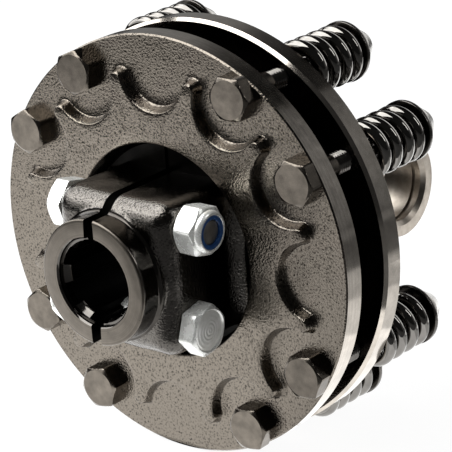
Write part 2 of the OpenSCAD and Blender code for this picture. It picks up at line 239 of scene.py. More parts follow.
# Surround as metal mirrors it: its angle round the axis with a grey level, and where it starts behind
SURROUND_DARK = 0.03
BACK_FROM, BACK_TO = 0.3, 0.6
BACK_GLOW = (
    (-180, 0.12), (-25, 0.12), (-5, 0.15), (7, 0.157), (19, 0.18), (31, 0.2), (43, 0.205), (55, 0.145),
    (66, 0.118), (68, 0.11), (72, 0.006), (91, 0.008), (103, 0.024), (115, 0.055), (127, 0.11),
    (139, 0.23), (180, 0.22))
BACKDROP_FROM, BACKDROP_TO = 0.8, 0.93
BACKDROP_BRIGHT = 2.0
FILL_LEVEL = 0.35

# Floor
FLOOR_SIZE = 6.0
FLOOR_GREY = 0.1
FLOOR_ROUGH = 0.9
FLOOR_WHITE = 0.94

# Lamps: name, place, target, size in metres, and watts
LAMPS = (
    ("key", (-0.42, -0.42, 1.05), (0, 0, 0), (1.1, 1.1), 20.0),
    ("top_back", (-0.7, 0.26, 1.0), (0, 0, 0), (0.45, 0.45), 3.0),
    ("left", (-1.15, -0.05, 0.55), (0, 0, 0), (0.9, 0.5), 5.0),
    ("fill_left", (-0.85, -0.95, 0.65), (0, 0, 0), (1.1, 0.7), 4.2),
    ("right_strip", (0.84, 0.48, 0.67), (0, 0.04, 0), (0.2, 0.5), 1.6),
)

# Boards on the floor: name, place and size in metres, turn in degrees, radiance, height in millimetres
BOARDS = (
    ("board", (-0.255, -0.132), (0.48, 0.63), -40, 1.08, 1.0),
    ("board_left", (-0.287, -0.105), (0.395, 0.63), -40, 0.7, 2.0),
    ("board_mid", (0.11, 0.185), (0.33, 0.32), -40, 0.45, 1.0),
    ("board_side", (0.06, 0.126), (0.33, 0.17), -40, 0.5, 2.0),
    ("board_near", (0.034, 0.095), (0.33, 0.09), -40, 0.65, 3.0),
    ("board_back", (-0.1, 0.45), (0.6, 0.5), 0, 1.7, 4.0),
    ("board_far", (1.35, 1.45), (1.8, 1.6), -40, 0.14, 1.0),
)


# Mesh helpers


def lerp(a, b, t):
    return a + (b - a) * t


def smooth_max(a, b, k):
    """The larger of two values, blended over a width k."""
    h = max(k - abs(a - b), 0.0) / k
    return max(a, b) + h * h * k / 4


def smooth_min(a, b, k):
    """The smaller of two values, blended over a width k."""
    return -smooth_max(-a, -b, k)


def polar(r, degrees, y):
    """A point at radius r and an angle from +X towards +Z, at the station y."""
    t = math.radians(degrees)
    return (r * math.cos(t), y, r * math.sin(t))


def around(r, a, z):
    """A point at radius r and an angle in radians about +Z, at the height z."""
    return (r * math.cos(a), r * math.sin(a), z)


def spin(degrees, axis):
    """A rotation about an axis."""
    return Matrix.Rotation(math.radians(degrees), 4, axis)


def loft(rows, material, cap_first=False, cap_last=False, wrap=False):
    """A skin over closed rows of points, with flat caps or the last row joined to the first."""
    count = len(rows[0])
    points = [p for row in rows for p in row]
    faces = []
    pairs = len(rows) if wrap else len(rows) - 1
    for i in range(pairs):
        a = i * count
        b = ((i + 1) % len(rows)) * count
        for j in range(count):
            k = (j + 1) % count
            faces.append((a + j, a + k, b + k, b + j))
    if cap_first:
        faces.append(tuple(reversed(range(count))))
    if cap_last:
        start = (len(rows) - 1) * count
        faces.append(tuple(range(start, start + count)))
    return points, faces, material


def placed(part, matrix):
    """The same part, moved by a matrix."""
    points, faces, material = part
    return [tuple(matrix @ Vector(p)) for p in points], faces, material


def clean_normals(mesh):
    """Turns all faces outwards and removes doubled points."""
    work = bmesh.new()
    work.from_mesh(mesh)
    bmesh.ops.remove_doubles(work, verts=work.verts, dist=0.002 * MM)
    bmesh.ops.recalc_face_normals(work, faces=work.faces)
    work.to_mesh(mesh)
    work.free()


def joined_mesh(name, parts, sharp):
    """One smooth mesh from several parts, each with its own material, with edges kept above an angle."""
    points, faces, indices, materials = [], [], [], []
    for part_points, part_faces, material in parts:
        start = len(points)
        points += [tuple(c * MM for c in p) for p in part_points]
        if material not in materials:
            materials.append(material)
        for face in part_faces:
            faces.append([start + i for i in face])
            indices.append(materials.index(material))
    mesh = bpy.data.meshes.new(name)
    mesh.from_pydata(points, [], faces)
    for material in materials:
        mesh.materials.append(material)
    mesh.polygons.foreach_set("material_index", indices)
    mesh.polygons.foreach_set("use_smooth", [True] * len(faces))
    mesh.update()
    clean_normals(mesh)
    mesh.set_sharp_from_angle(angle=math.radians(sharp))
    return mesh


def piece(name, parts, body, nodes, sharp=38.0):
    """An object from several parts that rides on a CAD body in place of CAD nodes."""
    obj = bpy.data.objects.new(name, joined_mesh(name, parts, sharp))
    bpy.context.scene.collection.objects.link(obj)
    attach(obj, body)
    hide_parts(*nodes)
    return obj


# Materials


def node_adder(tree):
    """A maker of nodes in a tree, whose inputs are constants or the outputs of other nodes."""

    def add(kind, inputs=None, **settings):
        node = tree.nodes.new(kind)
        for key, value in settings.items():
            setattr(node, key, value)
        for key, value in (inputs or {}).items():
            if isinstance(value, bpy.types.NodeSocket):
                tree.links.new(value, node.inputs[key])
            else:
                node.inputs[key].default_value = value
        return node

    return add


def new_material(name):
    """A node material with its shader, a maker of further nodes and a maker of links."""
    material = bpy.data.materials.new(name)
    material.use_nodes = True
    tree = material.node_tree
    return material, tree.nodes["Principled BSDF"], node_adder(tree), tree.links.new


def set_shader(shader, **values):
    """Sets constant values on the shader's own sockets, such as roughness=0.3."""
    for key, value in values.items():
        shader.inputs[key.replace("_", " ").title().replace("Ior", "IOR")].default_value = value


def object_coords(add):
    return add("ShaderNodeTexCoord").outputs["Object"]


def colour_ramp(add, factor, low, high, from_value=0.3, to_value=0.7):
    """Mixes two colours by a factor stretched between two values."""
    ramp = add("ShaderNodeValToRGB", {"Fac": factor})
    ramp.color_ramp.elements[0].position = from_value
    ramp.color_ramp.elements[0].color = (*low, 1)
    ramp.color_ramp.elements[1].position = to_value
    ramp.color_ramp.elements[1].color = (*high, 1)
    return ramp.outputs["Color"]


def colour_mix(add, factor, low, high):
    """One of two colours, or a mix of them, by a factor."""
    return add("ShaderNodeMix", {"Factor": factor, "A": low, "B": high}, data_type="RGBA").outputs[2]


def value_range(add, factor, low, high):
    """Maps a factor from 0..1 to a range."""
    node = add("ShaderNodeMapRange", {"Value": factor, "To Min": low, "To Max": high})
    return node.outputs["Result"]


def math_value(add, operation, a, b=0.0):
    """The result of a sum, a product or a comparison of two values."""
    return add("ShaderNodeMath", {0: a, 1: b}, operation=operation).outputs["Value"]


def distance_across(add, coords, keep, shift=(0, 0, 0)):
    """Distance from an axis: the length of the shifted coordinates that are kept."""
    moved = add("ShaderNodeVectorMath", {0: coords, 1: shift}, operation="ADD").outputs["Vector"]
    flat = add("ShaderNodeVectorMath", {0: moved, 1: keep}, operation="MULTIPLY").outputs["Vector"]
    return add("ShaderNodeVectorMath", {0: flat}, operation="LENGTH").outputs["Value"]


def noise_node(add, coords, size_mm, detail=3.0, rough=0.55):
    """Noise whose features are about size_mm across."""
    inputs = {"Vector": coords, "Scale": 1 / (size_mm * MM), "Detail": detail, "Roughness": rough}
    return add("ShaderNodeTexNoise", inputs).outputs["Fac"]


def bump_node(add, height, strength, depth_mm, normal=None):
    """A bump of a depth in millimetres, laid over another one if given."""
    inputs = {"Height": height, "Strength": strength, "Distance": depth_mm * MM}
    if normal is not None:
        inputs["Normal"] = normal
    return add("ShaderNodeBump", inputs).outputs["Normal"]


def cast_paint(name, dark, light, grain_mm, depth_mm, rough):
    """Black enamel over a sand casting: fine grain, small round pits and an uneven gloss."""
    material, shader, add, link = new_material(name)
    coords = object_coords(add)
    grain = noise_node(add, coords, grain_mm, 2.0, 0.6)
    broad = noise_node(add, coords, 14.0, 2.0)
    cell_inputs = {"Vector": coords, "Scale": 1 / (1.6 * grain_mm * MM)}
    cells = add("ShaderNodeTexVoronoi", cell_inputs).outputs["Distance"]
    pit_inputs = {"Value": cells, "From Min": 0.08, "From Max": 0.42}
    pits = add("ShaderNodeMapRange", pit_inputs, interpolation_type="SMOOTHSTEP").outputs["Result"]
    level_inputs = {0: pits, 1: grain, 2: grain}
    level = add("ShaderNodeMath", level_inputs, operation="MULTIPLY_ADD").outputs["Value"]
    link(colour_ramp(add, level, dark, light, 0.45, 1.1), shader.inputs["Base Color"])
    link(value_range(add, broad, rough * 0.75, rough * 1.25), shader.inputs["Roughness"])
    fine_bump = bump_node(add, level, 1.0, depth_mm)
    link(bump_node(add, broad, 0.25, 0.6, fine_bump), shader.inputs["Normal"])
    set_shader(shader, metallic=1.0)
    return material


def smooth_paint(name, dark, light, rough):
    """Black enamel over a machined or drawn surface, with a faint ripple."""
    material, shader, add, link = new_material(name)
    coords = object_coords(add)
    broad = noise_node(add, coords, 6.0, 2.0)
    fine = noise_node(add, coords, 0.7)
    link(colour_ramp(add, broad, dark, light), shader.inputs["Base Color"])
    link(value_range(add, fine, rough * 0.8, rough * 1.25), shader.inputs["Roughness"])
    link(bump_node(add, broad, 0.2, 0.15), shader.inputs["Normal"])
    set_shader(shader, metallic=1.0)
    return material


def turned_metal(name, dark, light, rough, groove_mm, bump=0.3):
    """Metal with the fine rings that a lathe leaves round the axis."""
    material, shader, add, link = new_material(name)
    coords = object_coords(add)
    radius = distance_across(add, coords, (1, 0, 1))
    along = add("ShaderNodeSeparateXYZ", {"Vector": coords}).outputs["Y"]
    track = math_value(add, "ADD", radius, along)
    ring_inputs = {"W": track, "Scale": 1 / (groove_mm * MM), "Detail": 4.0}
    rings = add("ShaderNodeTexNoise", ring_inputs, noise_dimensions="1D").outputs["Fac"]
    stain = noise_node(add, coords, 5.0, 4.0)
    both = math_value(add, "MULTIPLY", rings, stain)
    link(colour_ramp(add, both, dark, light, 0.12, 0.42), shader.inputs["Base Color"])
    link(value_range(add, stain, rough - 0.06, rough + 0.08), shader.inputs["Roughness"])
    link(bump_node(add, rings, bump, 0.08), shader.inputs["Normal"])
    set_shader(shader, metallic=1.0)
    return material


def plated_metal(name, dark, light, rough, metallic=1.0):
    """Zinc plate with clouds of colour and gloss."""
    material, shader, add, link = new_material(name)
    coords = object_coords(add)
    cloud = noise_node(add, coords, 4.0, 4.0)
    fine = noise_node(add, coords, 0.5, 2.0)
    link(colour_ramp(add, cloud, dark, light), shader.inputs["Base Color"])
    link(value_range(add, cloud, rough * 0.75, rough * 1.4), shader.inputs["Roughness"])
    link(bump_node(add, fine, 0.15, 0.05), shader.inputs["Normal"])
    set_shader(shader, metallic=metallic)
    return material


def nylon(name, dark, light):
    """Coloured nylon with a faint mottle."""
    material, shader, add, link = new_material(name)
    mottle = noise_node(add, object_coords(add), 1.5)
    link(colour_ramp(add, mottle, dark, light), shader.inputs["Base Color"])
    set_shader(shader, roughness=0.35, specular_ior_level=0.5)
    return material


def lining_material(name, dark, light):
    """Friction lining with chips of filler."""
    material, shader, add, link = new_material(name)
    chip_inputs = {"Vector": object_coords(add), "Scale": 900.0}
    chips = add("ShaderNodeTexVoronoi", chip_inputs).outputs["Distance"]
    link(colour_ramp(add, chips, dark, light, 0.1, 0.8), shader.inputs["Base Color"])
    link(bump_node(add, chips, 0.4, 0.2), shader.inputs["Normal"])
    set_shader(shader, roughness=0.85)
    return material


def yoke_zones(add, coords):
    """Masks of the yoke's bare ears and bores, and of its turned rim."""
    place = add("ShaderNodeSeparateXYZ", {"Vector": coords})
    out = math_value(add, "ABSOLUTE", place.outputs["X"])
    far = math_value(add, "GREATER_THAN", out, EAR_FACE_X * MM)
    behind = math_value(add, "GREATER_THAN", place.outputs["Y"], EAR_FRONT * MM)
    rim = math_value(add, "GREATER_THAN", distance_across(add, coords, (1, 0, 1)), YOKE_RIM_R * MM)
    from_cross = distance_across(add, coords, (0, 1, 1), (0, -CROSS_Y * MM, 0))
    bored = math_value(add, "LESS_THAN", from_cross, EAR_BORE_R * MM)
    bare = math_value(add, "MAXIMUM", math_value(add, "MULTIPLY", far, behind), bored)
    return bare, rim


def yoke_material(name):
    """Black paint on the yoke's body, turned metal on its rim, and worn metal on its ears and bores."""
    material, shader, add, link = new_material(name)
    coords = object_coords(add)
    grain = noise_node(add, coords, 1.2, 4.0)
    stain = noise_node(add, coords, 5.0)
    bare, rim = yoke_zones(add, coords)
    paint = colour_ramp(add, grain, (0.025, 0.023, 0.021), (0.055, 0.05, 0.045))
    rim_metal = colour_ramp(add, stain, (0.42, 0.385, 0.34), (0.56, 0.512, 0.455))
    bare_metal = colour_ramp(add, stain, (0.24, 0.213, 0.182), (0.4, 0.358, 0.308))
    colour = colour_mix(add, bare, colour_mix(add, rim, paint, rim_metal), bare_metal)
    link(colour, shader.inputs["Base Color"])
    gloss = add("ShaderNodeMath", {0: bare, 1: 0.22, 2: 0.12}, operation="MULTIPLY_ADD")
    link(gloss.outputs["Value"], shader.inputs["Roughness"])
    painted = math_value(add, "SUBTRACT", 1.0, math_value(add, "MAXIMUM", bare, rim))
    skin = math_value(add, "MULTIPLY", grain, painted)
    link(bump_node(add, skin, 0.6, 0.3), shader.inputs["Normal"])
    set_shader(shader, metallic=1.0)
    return material


PLATE_CAST = cast_paint("plate_cast", (0.042, 0.037, 0.031), (0.172, 0.152, 0.128),
                        grain_mm=0.9, depth_mm=0.09, rough=0.13)
HUB_CAST = cast_paint("hub_cast", (0.045, 0.042, 0.039), (0.12, 0.112, 0.102),
                      grain_mm=0.9, depth_mm=0.1, rough=0.13)
BOLT_PAINT = smooth_paint("bolt_black", (0.095, 0.084, 0.071), (0.165, 0.145, 0.122), rough=0.2)
HUB_GLOSS = smooth_paint("hub_gloss", (0.05, 0.046, 0.042), (0.075, 0.069, 0.062), rough=0.12)
SPRING_GLOSS = smooth_paint("spring_gloss", (0.15, 0.143, 0.134), (0.2, 0.191, 0.178), rough=0.06)
CUP_PAINT = smooth_paint("cup_black", (0.09, 0.086, 0.08), (0.14, 0.131, 0.122), rough=0.18)
RIM_METAL = turned_metal("rim_steel", (0.4, 0.366, 0.325), (0.6, 0.55, 0.488),
                         rough=0.12, groove_mm=0.5, bump=0.08)
NOSE_METAL = turned_metal("nose_face", (0.1, 0.089, 0.076), (0.158, 0.14, 0.119),
                          rough=0.3, groove_mm=0.6, bump=0.1)
MOUTH_METAL = turned_metal("mouth_dark", (0.09, 0.084, 0.078), (0.13, 0.122, 0.112),
                           rough=0.1, groove_mm=0.5, bump=0.05)
# Near-black stand-in for shade, not a finish of its own: painted shade on the slit walls, the barrel in the
# plate's hole, the deep bore and the hidden hub body.
PAINTED_SHADE_BLACK = smooth_paint("painted_shade_black", (0.002, 0.0019, 0.0017), (0.005, 0.0046, 0.0042), rough=0.3)
ZINC = plated_metal("zinc", (0.83, 0.84, 0.8), (0.98, 0.985, 0.96), rough=0.25, metallic=0.6)
ZINC_HEAD = plated_metal("zinc_head", (0.78, 0.78, 0.74), (1.0, 1.0, 0.975), rough=0.2, metallic=0.45)
ZINC_DULL = plated_metal("zinc_dull", (0.38, 0.37, 0.35), (0.62, 0.6, 0.57), rough=0.34)
CONE_GREY = plated_metal("cone_grey", (0.16, 0.152, 0.14), (0.3, 0.285, 0.262), rough=0.26)
# Blue nylon darkened below its own colour: partly real blue, partly painted shade of the recess under the
# nut's lip.
INSERT_BLUE_AND_SHADE = nylon("insert_blue", (0.006, 0.028, 0.1), (0.012, 0.06, 0.19))
LINING = lining_material("lining_brown", (0.008, 0.007, 0.006), (0.04, 0.032, 0.024))
BRONZE = turned_metal("bronze", (0.36, 0.24, 0.1), (0.62, 0.43, 0.2), rough=0.35, groove_mm=0.6)


# Front plate


def pad_outline(offset):
    """Edge of the scalloped pad, grown outwards by an offset: hollow arcs that run into round tips."""
    half = math.radians(180 / SCALLOPS)
    span = SCALLOP_R + PAD_TIP_R
    reach = 2 * (span - SCALLOP_CIRCLE_R * math.cos(half))
    tip_circle = (span ** 2 - SCALLOP_CIRCLE_R ** 2) / reach
    tip_r = PAD_TIP_R - tip_circle
    sweep = math.atan2(tip_circle * math.sin(half), tip_circle * math.cos(half) - SCALLOP_CIRCLE_R)
    tip_sweep = math.pi + half - sweep

    def arc_point(circle, a, r, b):
        return (circle * math.cos(a) + r * math.cos(b), circle * math.sin(a) + r * math.sin(b))

    points = []
    for i in range(SCALLOPS):
        a = 2 * half * i
        for k in range(HOLLOW_STEPS + 1):
            b = a + sweep + (2 * math.pi - 2 * sweep) * (1 - k / HOLLOW_STEPS)
            points.append(arc_point(SCALLOP_CIRCLE_R, a, SCALLOP_R - offset, b))
        a += half
        for k in range(1, TIP_STEPS):
            b = a + tip_sweep * (2 * k / TIP_STEPS - 1)
            points.append(arc_point(tip_circle, a, tip_r + offset, b))
    return points


def plate_circle(r):
    """A circle whose points run beside those of the pad's edge."""
    start = -2 * math.pi * (HOLLOW_STEPS // 2) / OUTLINE_POINTS
    angles = [start + 2 * math.pi * j / OUTLINE_POINTS for j in range(OUTLINE_POINTS)]
    return [(r * math.cos(a), r * math.sin(a)) for a in angles]


def outline_between(a, b, t):
    """An outline part of the way from one to another."""
    return [(lerp(p[0], q[0], t), lerp(p[1], q[1], t)) for p, q in zip(a, b)]


def plate_row(outline, y, swell=0.0):
    """An outline at the station y, uneven as a sand casting is."""
    row = []
    for x, z in outline:
        wave = Vector((x / PLATE_WAVE[0], y / PLATE_WAVE[1], z / PLATE_WAVE[2]))
        row.append((x, y + swell * noise.noise(wave), z))
    return row


def hole_rows():
    """The plate's hole, from its back to its round edge in the pad."""
    rows = [plate_row(plate_circle(PLATE_HOLE_R), y) for y in (PLATE_BACK, 0.0)]
    for k in range(HOLE_ROUND_STEPS + 1):
        a = math.pi / 2 * k / HOLE_ROUND_STEPS
        r = PLATE_HOLE_R + HOLE_ROUND * (1 - math.cos(a))
        rows.append(plate_row(plate_circle(r), PAD_FRONT + HOLE_ROUND * (1 - math.sin(a))))
    return rows


def pad_rows():
    """The flat of the pad and its soft S-shaped step down to the bolt seats."""
    hole_edge = plate_circle(PLATE_HOLE_R + HOLE_ROUND)
    pad_edge = pad_outline(-STEP_ROUND)
    rows = []
    for k in range(1, PAD_BANDS):
        rows.append(plate_row(outline_between(hole_edge, pad_edge, k / PAD_BANDS), PAD_FRONT, PAD_SWELL))
    for k in range(STEP_ROWS + 1):
        share = k / STEP_ROWS
        y = PAD_FRONT * (1 + math.cos(math.pi * share)) / 2
        outline = pad_outline(lerp(-STEP_ROUND, STEP_WALL + STEP_ROUND, share))
        rows.append(plate_row(outline, y, lerp(PAD_SWELL, SEAT_SWELL, share)))
    return rows


def seat_rows():
    """The bolt seats, from the foot of the step to the rim's bevel."""
    foot = pad_outline(STEP_WALL + STEP_ROUND)
    rim_edge = plate_circle(PLATE_R - RIM_BEVEL)
    rows = []
    for share in SEAT_SHARES:
        rows.append(plate_row(outline_between(foot, rim_edge, share), 0.0, SEAT_SWELL * (1 - share)))
    rows.append(plate_row(plate_circle(PLATE_R), RIM_BEVEL))
    return rows


def front_plate_piece():
    """Cast plate: round hole, raised scalloped pad, flat bolt seats and a turned rim."""

    def turned_rows(*profile):
        return [plate_row(plate_circle(r), y) for r, y in profile]

    bevel_r, bevel_back = PLATE_R - RIM_BEVEL, PLATE_BACK - RIM_BEVEL
    rim = turned_rows((PLATE_R, RIM_BEVEL), (PLATE_R, bevel_back), (bevel_r, PLATE_BACK))
    back = turned_rows((bevel_r, PLATE_BACK), (PLATE_HOLE_R, PLATE_BACK))
    face = hole_rows() + pad_rows() + seat_rows()
    parts = [loft(face, PLATE_CAST), loft(rim, RIM_METAL), loft(back, BOLT_PAINT)]
    return piece("front_plate_cast", parts, "housing", ["front_plate"])


# Clamp hub


def block_radius(degrees, half_w, half_h, corner):
    """Distance from the axis to the edge of a rectangle with round corners, at an angle."""
    t = math.radians(degrees)
    c, s = abs(math.cos(t)), abs(math.sin(t))
    flat = min(half_w / max(c, 1e-6), half_h / max(s, 1e-6))
    cx, cz = half_w - corner, half_h - corner
    if flat * c > cx and flat * s > cz:
        mid = cx * c + cz * s
        flat = mid + math.sqrt(max(mid * mid - cx * cx - cz * cz + corner * corner, 0.0))
    return flat


def spline_points():
    """Angle and radius of the corners of the splined bore over a full turn, from -90 degrees."""
    pitch = 360 / SPLINES
    at_land = math.degrees(math.asin(SPACE_HALF / LAND_R))
    at_space = math.degrees(math.asin(SPACE_HALF / SPACE_R))
    points = []
    for i in range(SPLINES):
        space = -90 + i * 360 / SPLINES
        land = space + pitch / 2
        points += [(space + at_space * k, SPACE_R) for k in (0, 0.5, 1)]
        points += [(land + (pitch / 2 - at_land) * k, LAND_R) for k in (-1, -0.5, 0, 0.5, 1)]
        points += [(space + pitch - at_space * k, SPACE_R) for k in (1, 0.5)]
    return points


def bore_radius(r, y):
    """Radius in the bore with its counterbore and lead-in at the mouth."""
    depth = y - NOSE_FRONT
    if depth < MOUTH_DEPTH:
        return max(MOUTH_R, LEAD_R - depth)
    return max(r, LEAD_R - (LEAD_R - LAND_R) * depth / LEAD_DEPTH)


def root_reach(y):
    """How far the hollow root stands out of a bolt face at a station."""
    along = min(y - BARREL_Y + ROOT_CENTRE, ROOT_R)
    return max(ROOT_CENTRE - math.sqrt(ROOT_R ** 2 - along ** 2), 0.0)


def hub_radius(station, degrees, half_w):
    """Radius of the outside of a jaw at a station and an angle."""
    kind, y, share = station
    if kind == "nose":
        return NOSE_R - share
    if kind == "barrel":
        return BARREL_R - share
    fillet_r = NOSE_R + NOSE_FILLET
    if kind == "face":
        front = block_radius(degrees, half_w - BLOCK_ROUND, BLOCK_HALF_H - BLOCK_ROUND, FACE_CORNER)
        return max(fillet_r, lerp(fillet_r, front, share))
    rise = math.sin(math.radians(share))
    grow = BLOCK_ROUND * (1 - rise)
    corner = lerp(FACE_CORNER, BLOCK_CORNER, rise)
    block = block_radius(degrees, half_w - grow, BLOCK_HALF_H - grow, corner)
    if y > BARREL_Y - ROOT_LEG:
        root = block_radius(degrees, half_w + root_reach(y), ROOT_HALF_H, ROOT_CORNER)
        return max(block, min(root, BARREL_R))
    return max(fillet_r, block)


def nose_stations():
    """The turned nose: round edge, steps of the bore's mouth, and the fillet at the block."""
    mouth = NOSE_FRONT + MOUTH_DEPTH
    lead_end = NOSE_FRONT + LEAD_DEPTH
    made = []
    for a in (math.pi / 2, math.pi / 3, math.pi / 6, 0.0):
        made.append(("nose", NOSE_FRONT + NOSE_EDGE * (1 - math.sin(a)), NOSE_EDGE * (1 - math.cos(a))))
    for y in (mouth - MOUTH_EDGE, mouth + MOUTH_EDGE, NOSE_ROWS[0], lead_end, NOSE_ROWS[1]):
        made.append(("nose", y, 0.0))
    for a in (0.0, math.pi / 8, math.pi / 4, math.pi * 3 / 8):
        made.append(("nose", NOSE_BACK - NOSE_FILLET * (1 - math.sin(a)), -NOSE_FILLET * (1 - math.cos(a))))
    return made


def block_stations():
    """The cast block: flat face, round edge, straight sides and the hollow root."""
    made = [("face", NOSE_BACK, share) for share in (0.0, 0.4, 0.8, 1.0)]
    for a in range(10, 91, 10):
        made.append(("block", NOSE_BACK + BLOCK_ROUND * (1 - math.cos(math.radians(a))), a))
    sides_from, sides_to = NOSE_BACK + BLOCK_ROUND, BARREL_Y - ROOT_LEG
    for k in range(1, BLOCK_BANDS + 1):
        made.append(("block", lerp(sides_from, sides_to, k / BLOCK_BANDS), 90.0))
    for lack in (0.75, 0.5, 0.3, 0.15, 0.05, 0.0):
        made.append(("block", BARREL_Y - ROOT_LEG * lack, 90.0))
    return made


def hub_stations():
    """Stations along the outside of the jaws, each with its kind and a share or an angle."""
    barrel = [("barrel", BARREL_Y, BARREL_BEVEL), ("barrel", BARREL_Y + BARREL_BEVEL, 0.0),
              ("barrel", SLIT_END, 0.0)]
    return nose_stations() + block_stations() + barrel


def slit_angle(outside):
    """Angle at which the outside of a jaw meets the slit's wall."""
    low, high = 45.0, 89.9
    for _ in range(30):
        mid = (low + high) / 2
        if outside(mid) * math.cos(math.radians(mid)) > SLIT_HALF:
            low = mid
        else:
            high = mid
    return low


def jaw_bore(y):
    """Bore of one jaw at a station, from the upper slit down to the lower one."""
    slit = math.degrees(math.asin(SLIT_HALF / SPACE_R))
    corners = [(slit - 90, SPACE_R)] + [p for p in spline_points() if slit - 90 < p[0] < 90 - slit]
    corners.append((90 - slit, SPACE_R))
    return [polar(bore_radius(r, y), a, y) for a, r in reversed(corners)]


def jaw_row(station, side):
    """Section of one jaw: the outside from the lower slit to the upper one, then the bore back down."""
    kind, y, _ = station
    half_w = BLOCK_RIGHT if side > 0 else BLOCK_LEFT
    swell = BLOCK_SWELL if kind == "block" else 0.0

    def outside(degrees):
        return hub_radius(station, degrees, half_w)

    end = slit_angle(outside)
    section = []
    for k in range(JAW_STEPS + 1):
        a = lerp(-end, end, k / JAW_STEPS)
        r = outside(a)
        wave = swell * noise.noise(Vector(polar(r, a, y)) / BLOCK_WAVE)
        section.append(polar(r + wave, a, y))
    return [(side * x, py, pz) for x, py, pz in section + jaw_bore(y)]


def jaw_finish(stations, row, column, count):
    """Finish of a face of a jaw, by its row along the axis and its column round the section; slit walls,
    barrel and the bore past its mouth get painted shade.
    """
    kind, y, _ = stations[row]
    # Slit walls, barrel rows and the bore past its mouth are painted shade; the bore's mouth keeps its
    # metal.
    if column in (JAW_STEPS, count - 1) or row >= len(stations) - BARREL_ROWS:
        return PAINTED_SHADE_BLACK
    if column > JAW_STEPS:
        return MOUTH_METAL if y < NOSE_FRONT + LEAD_DEPTH else PAINTED_SHADE_BLACK
    if row < NOSE_EDGE_ROWS:
        return NOSE_METAL
    return HUB_GLOSS if kind == "nose" else HUB_CAST


def split_jaw(side):
    """One jaw as a closed shape with the finish of each zone: nose face, nose, cast block and bore, with
    painted shade on the slit walls, barrel and deep bore.
    """
    stations = hub_stations()
    rows = [jaw_row(station, side) for station in stations]
    count = len(rows[0])
    points, faces, _ = loft(rows, None, cap_last=True)
    skins = {NOSE_METAL: [tuple(range(count))], HUB_GLOSS: [], HUB_CAST: [], MOUTH_METAL: [],
             PAINTED_SHADE_BLACK: [faces.pop()]}
    for index, face in enumerate(faces):
        row, column = divmod(index, count)
        skins[jaw_finish(stations, row, column, count)].append(face)
    return [(points, skin, finish) for finish, skin in skins.items()]


def hub_body():
    """The hub behind the slit: barrel, drive flange and spigot round the splined bore, all in painted shade
    black.
    """
    spline = spline_points()
    profile = ((BARREL_R, SLIT_END), (BARREL_R, DRIVE_FRONT), (DRIVE_R, DRIVE_FRONT),
               (DRIVE_R, DRIVE_BACK), (SPIGOT_R, DRIVE_BACK), (SPIGOT_R, HUB_BACK))
    outside = [[polar(r, a, y) for a, _ in spline] for r, y in profile]
    bore = [[polar(max(r, LEAD_R) if y == HUB_BACK else r, a, y) for a, r in spline]
            for y in (HUB_BACK, HUB_BACK - LEAD_DEPTH, SLIT_END)]
    return loft(outside + bore, PAINTED_SHADE_BLACK, wrap=True)


def clamp_hub_piece():
    """The hub: two jaws in front and one body behind."""
    parts = split_jaw(1) + split_jaw(-1) + [hub_body()]
    return piece("clamp_hub_cast", parts, "hub", ["clamp_hub"], sharp=42)


# Bolts and nuts, drawn along +Z from their seat


def hex_radius(degrees, af):
    """Distance from the axis to the edge of a hexagon with slightly broken corners."""
    a = math.radians((degrees + 30) % 60 - 30)
    return min(af / 2 / math.cos(a), af / 2 / math.cos(math.pi / 6) - HEX_CORNER)


def hex_rows(af, height, top_share, seat_bevel):
    """Rows of a hexagon chamfered by a cone at its top and, where asked, at its seat."""
    angles = [360 * k / ROUND_SIDES for k in range(ROUND_SIDES)]
    top_r = af / 2 * top_share

    def row(z):
        cone = top_r + (height - z) * CHAMFER_SLOPE
        if seat_bevel:
            cone = min(cone, top_r + z * CHAMFER_SLOPE)
        radii = [smooth_min(hex_radius(a, af), cone, HEX_BLEND) for a in angles]
        return [around(r, math.radians(a), z) for r, a in zip(radii, angles)]

    heights = [*HEX_ENDS, height / 2] + [height - z for z in reversed(HEX_ENDS)]
    return [row(z) for z in heights]


def round_rows(profile, sides=ROUND_SIDES):
    """Rows of a turned shape along +Z from (radius, z) pairs."""
    angles = [2 * math.pi * k / sides for k in range(sides)]
    return [[around(r, a, z) for a in angles] for r, z in profile]


def thread_rows(r, start, end, pitch):
    """Rows of a bolt's thread: a shallow helical ridge that tapers at its end."""
    depth = THREAD_DEPTH * pitch
    steps = int((end - start) / pitch * THREAD_STEPS)
    rows = []
    for i in range(steps + 1):
        z = lerp(start, end, i / steps)
        row = []
        for k in range(THREAD_SIDES):
            turn = (z / pitch - k / THREAD_SIDES) % 1.0
            ridge = r - depth * abs(2 * turn - 1)
            ridge -= THREAD_END_TAPER * max(0.0, 1.0 - (end - z))
            row.append(around(ridge, 2 * math.pi * k / THREAD_SIDES, z))
        rows.append(row)
    return rows


def head_parts(af, height, body_material, face_material, ring_depth=0.0, dome=0.0):
    """Bolt head on its seat at z = 0, with a face that is finished by itself and may be domed and ringed."""
    rows = hex_rows(af, height, HEAD_TOP_SHARE, seat_bevel=False)
    face_r = af * FACE_SHARE
    count = 32 if ring_depth else 3
    profile = []
    for k in range(1, count + 1):
        r = lerp(face_r, FACE_CENTRE_R, k / count)
        depth = ring_depth if r < RING_ZONE else ring_depth * OUTER_RING_SHARE
        ring = depth * (0.5 + 0.5 * math.cos(2 * math.pi * r / RING_PITCH))
        profile.append((r, height - dome * (r / face_r) ** 2 - ring))
    face = [rows[-1]] + round_rows(profile)
    return [loft(rows, body_material, cap_first=True), loft(face, face_material, cap_last=True)]


